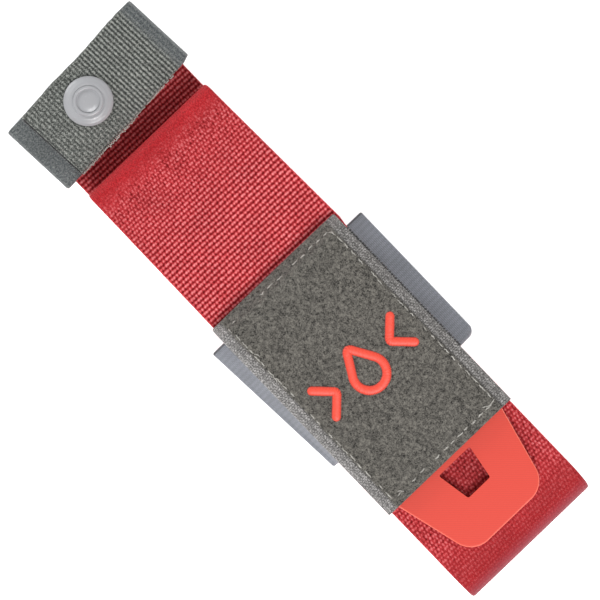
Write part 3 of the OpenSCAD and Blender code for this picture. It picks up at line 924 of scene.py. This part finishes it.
def pads():
    """Loop pads on the key and the hook pad on the cover's underside, with its rows of small hooks."""
    low, high = box("key_pads")
    for name, inner, outer, nodes in (("key_pad_left", low[0] + PAD, low[0], ["key_pads"]),
                                      ("key_pad_right", high[0] - PAD, high[0], [])):
        a = np.array([min(inner, outer), low[1], high[2] - 0.3])
        b = np.array([max(inner, outer), high[1], high[2] + 0.12])
        pad = sheet(name, a, b, 0.22, nap(31, [(0.03, 0.5), (0.02, 1.2)]), 0.15)
        finish_piece(pad, DARK_FELT, "windlass", nodes)
    low, high = box("cover_hook_pad")
    back_low = np.array([low[0], low[1], high[2] - 0.25])
    back = sheet("hook_pad_back", back_low, high, 0.6, nap(41, [(0.01, 2.0)]), 0.2, True)
    finish_piece(back, HOOKS, "cover", ["cover_hook_pad"])
    rng = np.random.default_rng(5)
    hooks = []
    top, tip = high[2] - 0.2, low[2] + 0.05
    for x in np.arange(low[0] + 0.8, high[0] - 0.6, HOOK_PITCH):
        for y in np.arange(low[1] + 0.8, high[1] - 0.6, HOOK_PITCH):
            lean = 0.16 * (1 if rng.random() < 0.5 else -1)
            line = [(x, y, top), (x, y, tip + 0.12), (x + lean * 0.4, y, tip), (x + lean, y, tip + 0.02),
                    (x + 1.5 * lean, y, tip + 0.13)]
            hooks.append(tube(line, 0.09, 5))
    finish_tubes("hook_pad_hooks", hooks, HOOKS, "cover")


pads()


def droop(points):
    """Lets the cover hang down a little along its long edges, away from its sewn end."""
    reach = clip((np.abs(points[:, 1]) - DROOP_START) / (BACKING_HIGH[1] - DROOP_START))
    free = clip((points[:, 0] - BACKING_LOW[0]) / 6.0)
    points[:, 2] -= np.where(points[:, 1] > 0, DROOP_RIGHT, DROOP_LEFT) * reach ** 2 * free
    return points


def cover_backing():
    """The cover's webbing: a fold at the sewn end, and the stiff back."""
    t = BAND_WEB
    z = (BACKING_LOW[2] + BACKING_HIGH[2]) / 2
    foot = ANCHOR_LOW[2] + t / 2
    left = BACKING_LOW[0] + t / 2
    bend = rounded([(ANCHOR_HIGH[0], foot), (left, foot), (left, z), (COVER_SPLIT, z)], 0.8)
    bend[:, 1] -= drape(bend[:, 0]) * clip((bend[:, 1] - foot) / (z - foot))
    back = np.c_[np.linspace(COVER_SPLIT, BACKING_HIGH[0], 200), np.full(200, z)]
    back[:, 1] -= drape(back[:, 0])
    width = BACKING_HIGH[1] - BACKING_LOW[1]
    fine = floats(0.55, 1.2, (0.3, 0.2, 0.25, 0.25), 9, 0.5)
    shared = dict(thick=t, relief=fine, depth=0.07, place=in_xz, step=0.18)
    cover = dict(width=width, side_step=0.27, inner_step=0.8, warp=droop, **shared)
    fold = webbing("cover_fold", bend, **cover)
    fold.data.materials.append(EDGE)
    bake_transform(fold)
    finish_piece(webbing("cover_webbing", back, **cover), EDGE, "cover", ["cover_backing"])
    inner = left + t + 0.55
    right = ANCHOR_HIGH[0] - t / 2
    above = foot + t + 0.05
    hem = [(inner, above), (right, above), (right, ANCHOR_HIGH[2] - t - 0.9)]
    filler = webbing("cover_hem", rounded(hem, 0.5), ANCHOR_HIGH[1] - ANCHOR_LOW[1], side_step=0.4, **shared)
    finish_piece(filler, EDGE, "strap_pack", ["cover_anchor"])


def cover_felt():
    """The napped loop fabric on the cover's top."""
    relief = nap(21, [(0.11, 0.5), (0.08, 0.95), (0.05, 3.0)])
    piece = sheet("cover_loop_fabric", FACE_LOW, FACE_HIGH, 0.24, relief, draped=True)
    finish_piece(piece, FELT, "cover", ["cover_face"])


def felt_fibres():
    """Curled fibres that stand up from the napped face, each a small closed arch."""
    rng = np.random.default_rng(77)
    for name in ("felt_fibres_a", "felt_fibres_b"):
        arches, tones = [], []
        for _ in range(FIBRE_COUNT):
            x = rng.uniform(FACE_LOW[0] + 0.3, FACE_HIGH[0] - 0.3)
            y = rng.uniform(FACE_LOW[1] + 0.3, FACE_HIGH[1] - 0.3)
            turn, r = rng.uniform(0, math.pi), rng.uniform(0.22, 0.5)
            t = np.linspace(0.15, math.pi - 0.15, 5)
            flat = r * np.cos(t)
            bend = rng.uniform(-0.25, 0.25) * np.sin(t)
            z = FACE_HIGH[2] - 0.42 + r * rng.uniform(0.5, 0.95) * np.sin(t)
            points = turned_line(x, y, turn, flat, bend, np.minimum(z, MARK_TOP - 0.1))
            arches.append(tube(points, rng.uniform(0.035, 0.06), 3))
            tones.append(np.full(len(points) * 3, rng.uniform(0, 1)))
        marks = {"tone": np.concatenate(tones)}
        finish_tubes(name, arches, FIBRES, "cover", draped=True, marks=marks)


def cover_seams():
    """The pale seam thread: short uneven stitches sunk in the felt's edges and ends, and a few loose ends."""
    rng = np.random.default_rng(3)
    threads = []
    z = FACE_HIGH[2] - 0.18

    def stitches(a, b, pitch, shown, growth=0.0):
        """A row from a to b: shown is the share that lies above the felt, growth how much thicker it gets."""
        a, b = np.array(a, float), np.array(b, float)
        length = np.linalg.norm(b - a)
        along = (b - a) / length
        across = np.array([-along[1], along[0]])
        s = 0.4
        while s < length - 1.0:
            dash = rng.uniform(1.1, 2.2)
            if rng.random() < shown:
                steps = np.linspace(0, 1, 7)
                wave = rng.uniform(-0.12, 0.12, 7) + rng.uniform(-0.15, 0.15)
                line = a + np.outer(s + steps * dash, along) + np.outer(wave, across)
                rise = z + 0.12 * np.sin(math.pi * steps) - 0.12
                size = rng.uniform(0.11, 0.17) * (1 + growth * s / length)
                taper = np.sin(math.pi * (0.12 + 0.76 * steps)) ** 0.5
                threads.append(tube(np.c_[line, rise], size * taper, 6))
            s += pitch * rng.uniform(0.85, 1.15)

    x0, x1 = FACE_LOW[0] + SEAM_INSET, FACE_HIGH[0] - SEAM_INSET
    side = FACE_HIGH[1] - 0.5
    end = side - 1
    stitches((x0, -side), (x1, -side), 2.3, 0.8)
    stitches((x0, side), (x1, side), 2.3, 0.85)
    stitches((x0, -end), (x0, end), 2.5, 0.6)
    stitches((x1, -end), (x1, end), 2.5, 0.92, 0.6)
    loose_ends = ((x1, side - 1.2, 2.2), (x1 - 0.6, side - 3.2, 1.5), (x0 + 0.4, side - 1.0, 0.6),
                  (x1 - 0.3, 2.0 - side, 1.2), (x0 + 9, 0.1 - side, 0.3), (x0 + 16, -0.2 - side, -0.4))
    for x, y, turn in loose_ends:
        t = np.linspace(0, 1, 9)
        bend = 0.35 * np.sin(2.5 * t + turn)
        line = turned_line(x, y, turn, 1.5 * t, bend, z + 0.1 * np.sin(math.pi * t))
        threads.append(tube(line, 0.12 * np.sin(math.pi * (0.1 + 0.8 * t)) ** 0.4, 6))
    finish_tubes("cover_seam_thread", threads, PALE_THREAD, "cover", ["cover_stitches"],
                 draped=True)


def binding(name, seed, places, wander, size, line, body):
    """Dark thread wrapped over an edge. line gives a stitch's points from its place and two random shifts."""
    rng = np.random.default_rng(seed)
    wraps = []
    for place in places:
        a, b = rng.uniform(-wander, wander, 2)
        wraps.append(tube(line(place, a, b), rng.uniform(*size), 6))
    finish_tubes(name, wraps, DARK_THREAD, body)


def edge_thread():
    """Binding stitches over the cover's right edge; their dark thread also stands in for the shadowed gap
    along that edge.
    """
    y, top, low = BACKING_HIGH[1], BACKING_HIGH[2] - 0.75, BACKING_LOW[2] - 0.3

    def line(x, a, b):
        return [(x + a, y - 0.35, top), (x + 0.1 + a, y - 0.05, top + 0.05), (x + 0.2, y + 0.22, top - 0.25),
                (x + 0.3 + b, y + 0.25, low + 0.25), (x + 0.4 + b, y - 0.1, low)]

    places = np.arange(KEEPER_LOW[0] + 0.5, KEEPER_HIGH[0] - 0.8, 0.72)
    binding("cover_edge_thread", 9, places, 0.12, (0.2, 0.27), line, "cover")


MARK_X = -12.3  # where the chevrons' tips are
STROKE, STROKE_RISE = 2.25, 0.62  # width and height of an embroidered line
STITCH = 0.34  # from one satin stitch to the next
DROP_R, DROP_TIP = 4.1, 8.1  # the drop's radius, and its tip from its middle
DROP_SHIFT = 2.2  # the drop's middle from the chevrons' tips, along the cover
CHEVRON_AT, CHEVRON_ARM = 8.6, 5.0  # a chevron's tip from the middle line, and its arms' reach


def satin(name, path, closed):
    """An embroidered stroke: satin stitches laid across a line, packed side by side, with rounded ends."""
    at, left, run = resample(path, 0.08)
    turn = np.radians(np.linspace(0, 180, 15))
    swell = np.ones(len(run))
    if not closed:
        near = np.minimum(run, run[-1] - run) / (STROKE / 2)
        swell = np.sqrt(np.clip(1 - (1 - clip(near)) ** 2, 0.01, 1))
    side = np.cos(turn)[None] * swell[:, None] * STROKE / 2
    phase = (run[:, None] + 0.25 * side) / STITCH
    groove = np.abs(np.sin(math.pi * phase)) ** 0.5
    uneven = 1 + 0.03 * smooth_noise(np.floor(phase) * 3.1, side * 0.2, 1.0, 51)
    size = (0.93 + 0.07 * groove) * uneven
    rise = np.sin(turn)[None] ** 0.75 * STROKE_RISE * (0.35 + 0.65 * swell[:, None]) * size
    z = np.minimum(FACE_HIGH[2] - 0.22 + rise, MARK_TOP + 0.1)
    x, y = beside(at, left, side * size)
    verts = np.c_[x.ravel(), y.ravel(), z.ravel()]
    # level: low in the grooves between stitches and at the stroke's sides, for painted shade
    marks = {"level": (np.broadcast_to(groove, x.shape) * np.sin(turn)[None] ** 0.55).ravel()}
    piece = build_mesh(name, verts, skin(*x.shape, closed), marks)
    return finish_piece(piece, CORAL_THREAD, "cover")


def cover_mark():
    """A drop pressed between two chevrons, embroidered in satin stitch."""
    lean = math.degrees(math.asin(DROP_R / DROP_TIP))
    foot = (MARK_X + DROP_SHIFT, 0)
    tip = (foot[0] - DROP_TIP, 0)
    line = np.vstack([[tip], arc(foot, DROP_R, 90 + lean, -90 - lean), [tip]])
    half = len(line) // 2
    middle = (line[half - 1] + line[half]) / 2
    eased = rounded([line[-2], tip, line[1]], 0.9)[1:-1]
    drop = satin("mark_drop", np.vstack([[middle], line[half:-1], eased, line[1:half]]), True)
    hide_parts("cover_mark")
    for side, name in ((-1, "mark_chevron_left"), (1, "mark_chevron_right")):
        far = side * (CHEVRON_AT + CHEVRON_ARM)
        path = [(MARK_X - CHEVRON_ARM, far), (MARK_X, side * CHEVRON_AT), (MARK_X + CHEVRON_ARM, far)]
        satin(name, rounded(path, 0.9), False)


cover_backing()
cover_felt()
felt_fibres()
cover_seams()
edge_thread()
cover_mark()

# ---- snap band

BAND_TURN = math.radians(3.5)  # the band isn't quite square to the tail
BAND_MID_X = -102.5
FLAP_LOW, FLAP_HIGH = box("band_flap")
BASE_BOTTOM = box("band_base")[0][2]
BAND_W = 19.5
BAND_RIB, BAND_CELL = 0.98, 1.16  # one rib of the band, and one line of yarn along it
BAND_LEFT, BAND_RIGHT = -22.3, 20.9  # its two folds
FLAP_LEFT = -17.1  # the flap's free end
SNAP = (CAP_LOW[:2] + CAP_HIGH[:2]) / 2  # the snap's axis
CAP_RISE = 2.1  # height of the cap


def band_place(a, b, across):
    """From the band's own frame, where it runs along Y, to the model."""
    return turned_line(BAND_MID_X, 0, BAND_TURN, -across, a, b)


def snap_band():
    """The band sewn round the tail, with its flap folded over the top."""
    t = BAND_WEB
    over = TAIL_HIGH[2] + 0.5 + 2 * GAP + t / 2
    low = BASE_BOTTOM + t / 2
    left, right = BAND_LEFT + t / 2, BAND_RIGHT - t / 2
    z_flap = FLAP_HIGH[2] - t / 2
    path = rounded([(FLAP_LEFT, z_flap), (right, z_flap), (right, low), (left, low), (left, over),
                    (6, over)], 2.4)
    weave = floats(BAND_RIB, BAND_CELL, (0.64, 0.17, 0, 0, 0.09, 0.07), 15)

    def fade(at):
        from_fold = clip((BAND_RIGHT - at[:, 0] - 2.5) / 2.0)
        lower = at[:, 1] < over + 0.3
        near_left = lower & (at[:, 0] < FLAP_LEFT + 1)
        strength = np.where(near_left, 0.4, 0.35 + 0.65 * from_fold)
        loose = np.where(lower, 0.8, np.clip((4.0 - at[:, 0]) / 7.0, 0.05, 0.72))
        return strength, loose, 0, 0

    def settle(points):
        x, y = points[:, 0], points[:, 1]
        upper = points[:, 2] > over + 1.5
        points[:, 0] += np.where(upper, 0.14 * np.sin(y * 0.3 + 0.6) + 0.08 * smooth_noise(x, y, 1.3, 61), 0)
        corner = clip((y - 16.5) / 4.4) * clip((x - BAND_MID_X - 5) / 4)
        points[:, 0] -= 0.9 * corner ** 2 + 0.45 * clip((BAND_MID_X - x) / 8)
        return points

    piece = webbing("band_webbing", path, BAND_W, t, weave, 0.2, band_place,
                    step=BAND_RIB / 5, side_step=BAND_CELL / 6, fade=fade, warp=settle)
    piece.data.materials.append(BAND)
    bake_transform(piece)
    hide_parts("band_base", "band_flap")


def fringe():
    """Pale ends of yarn that stand out of the flap's long edges."""
    rng = np.random.default_rng(19)
    loops = []
    z = FLAP_HIGH[2] - BAND_WEB / 2
    first = FLAP_LEFT + 0.3
    for side, start, stop, reach in ((1, first, 2.0, 0.75), (1, 2.0, 15.0, 0.3), (-1, first, 15.0, 0.2)):
        for y in np.arange(start, stop, 0.5):
            out = reach * rng.uniform(0.3, 1.0)
            if out < 0.12:
                continue
            half = rng.uniform(0.14, 0.3)
            t = np.linspace(0, math.pi, 6)
            across = side * (BAND_W / 2 - 0.15 + (0.15 + out) * np.sin(t))
            line = band_place(y + half * np.cos(t), z + rng.uniform(-0.2, 0.3) * np.sin(t), -across)
            loops.append(tube(line, rng.uniform(0.1, 0.15), 5))
    finish_tubes("band_fringe", loops, PALE_THREAD, "snap_flap")


def hem_thread():
    """Binding stitches over the flap's free end; their dark thread also stands in for the shadowed step
    there.
    """
    edge, top = FLAP_LEFT, FLAP_HIGH[2]

    def line(x, a, b):
        points = [(edge + 0.05, top - 0.15, x), (edge - 0.22 + a, top - 0.35, x + 0.15),
                  (edge - 0.3 + b, top - 0.8, x + 0.3), (edge - 0.05, FLAP_LOW[2] + 0.05, x + 0.4)]
        return band_place(*np.array(points).T)

    places = np.arange(-BAND_W / 2 + 0.4, BAND_W / 2 - 0.5, 0.7)
    binding("flap_hem_thread", 23, places, 0.08, (0.2, 0.26), line, "snap_flap")


def turned_piece(name, profile, bottom, sides, material, body, node):
    """A turned part of the snap: its profile's heights are from its bottom."""
    profile = [(r, bottom + height) for r, height in profile]
    finish_piece(lathe(name, profile, SNAP, sides), material, body, [node])


def snap():
    """The cap, with a plain raised ring in the middle of its dome, and the metal halves under it."""
    z = CAP_HIGH[2] - CAP_RISE
    r = (CAP_HIGH[0] - CAP_LOW[0]) / 2
    side = [(0, 0), (r - 0.3, 0), (r, 0.2), (r, 0.45), (r - 0.12, 0.62)]
    quarter = np.linspace(0, math.pi / 2, 6)[2:]
    corner = [(r - 0.75 + 0.35 * math.cos(a), 0.55 + 0.35 * math.sin(a)) for a in quarter]
    dome = [(4.7, 1.3), (4.1, 1.42), (3.9, 1.38), (3.72, 1.3)]
    raised = [(3.66, 1.36), (3.6, 1.9), (3.5, 1.98), (3.0, 2.0), (2.9, 1.92), (2.84, 1.38), (2.76, 1.32)]
    middle = [(2.5, 1.46), (1.6, 1.6), (0.8, 1.64), (0, 1.65)]
    cap = side + corner + dome + raised + middle
    turned_piece("cap_dome", cap, z, 96, CAP, "snap_flap", "snap_cap")

    low, high = box("snap_socket")
    outer, top = (high[0] - low[0]) / 2, high[2] - low[2]
    socket = [(1.3, 0), (outer - 0.3, 0), (outer, 0.2), (outer, top - 0.2), (outer - 0.2, top), (1.3, top),
              (1.3, 0)]
    turned_piece("snap_socket_turned", socket, low[2], 64, METAL, "snap_flap", "snap_socket")
    low, high = box("snap_stud")
    outer, top = (high[0] - low[0]) / 2, high[2] - low[2]
    stud = [(0, 0), (outer - 0.15, 0), (outer, 0.2), (outer - 0.2, 0.45), (2.1, 0.5), (1.7, 0.7), (1.9, 1.15),
            (1.6, top - 0.05), (0, top)]
    turned_piece("snap_stud_turned", stud, low[2], 64, METAL, "tail", "snap_stud")


snap_band()
fringe()
hem_thread()
snap()

# ---- pieces that keep their CAD shape

KEPT = {"base_plate": PLATE, "buckle": BUCKLE, "snap_rivet": METAL}
for place in ("strap", "keeper", "anchor", "band"):
    KEPT[place + "_stitches"] = DARK_THREAD
for node, material in KEPT.items():
    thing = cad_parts[node]
    thing.data.materials.clear()
    thing.data.materials.append(material)

# ---- stage, light and camera

VIEW_CENTRE = (-34.0, 0.1)
VIEW_WIDTH = 142.7  # width of the view at height VIEW_LEVEL
VIEW_LEVEL = 15.0
CAMERA_HEIGHT = 2000.0
SENSOR = 36.0
FLOOR_HALF, FLOOR_Z = 2.0, -0.0002  # half of the floor's side and its height, in metres


def stage():
    """The white floor that the object lies on."""
    floor = bpy.data.meshes.new("floor")
    corners = [(x, y, 0) for x, y in rectangle(FLOOR_HALF, FLOOR_HALF)]
    floor.from_pydata(corners, [], [range(4)])
    thing = placed(bpy.data.objects.new("floor", floor))
    thing.location.z = FLOOR_Z
    n = Nodes("floor_white")
    tint = n.ramp(n.noise(30, 2.0, n.place()), [(0.3, grey(0.9)), (0.7, grey(0.92))])
    white = n.set(Base_Color=tint, Roughness=0.9, Emission_Color=WHITE, Emission_Strength=0.85)
    thing.data.materials.append(white)


def lights():
    """An even white surround, a small key light and a soft fill light."""
    world = bpy.data.worlds.new("tent")
    world.use_nodes = True
    background = world.node_tree.nodes["Background"]
    background.inputs["Color"].default_value = WHITE
    background.inputs["Strength"].default_value = 0.42
    bpy.context.scene.world = world

    def area(name, place, size, power):
        data = bpy.data.lights.new(name, "AREA")
        data.size = size
        data.energy = power
        lamp = placed(bpy.data.objects.new(name, data))
        lamp.location = place
        aim = placed(bpy.data.objects.new(name + "_aim", None))
        aim.location = (VIEW_CENTRE[0] * METRES, 0, 0)
        track = lamp.constraints.new("TRACK_TO")
        track.target = aim
        track.track_axis = "TRACK_NEGATIVE_Z"
        track.up_axis = "UP_Y"

    area("key_light", (0.4, -0.2, 0.92), 0.45, 7.0)
    area("fill_light", (-0.9, -0.1, 0.36), 0.5, 3.0)


def camera():
    """A long lens straight above, turned so that the strap runs to the lower right."""
    data = bpy.data.cameras.new("camera")
    data.sensor_width = SENSOR
    data.lens = SENSOR * (CAMERA_HEIGHT - VIEW_LEVEL) / VIEW_WIDTH
    data.clip_end = 10
    thing = placed(bpy.data.objects.new("camera", data))
    thing.location = (VIEW_CENTRE[0] * METRES, VIEW_CENTRE[1] * METRES, CAMERA_HEIGHT * METRES)
    thing.rotation_euler = (0, 0, math.radians(VIEW_TURN))
    bpy.context.scene.camera = thing


stage()
lights()
camera()
bpy.context.scene.view_settings.view_transform = "Standard"
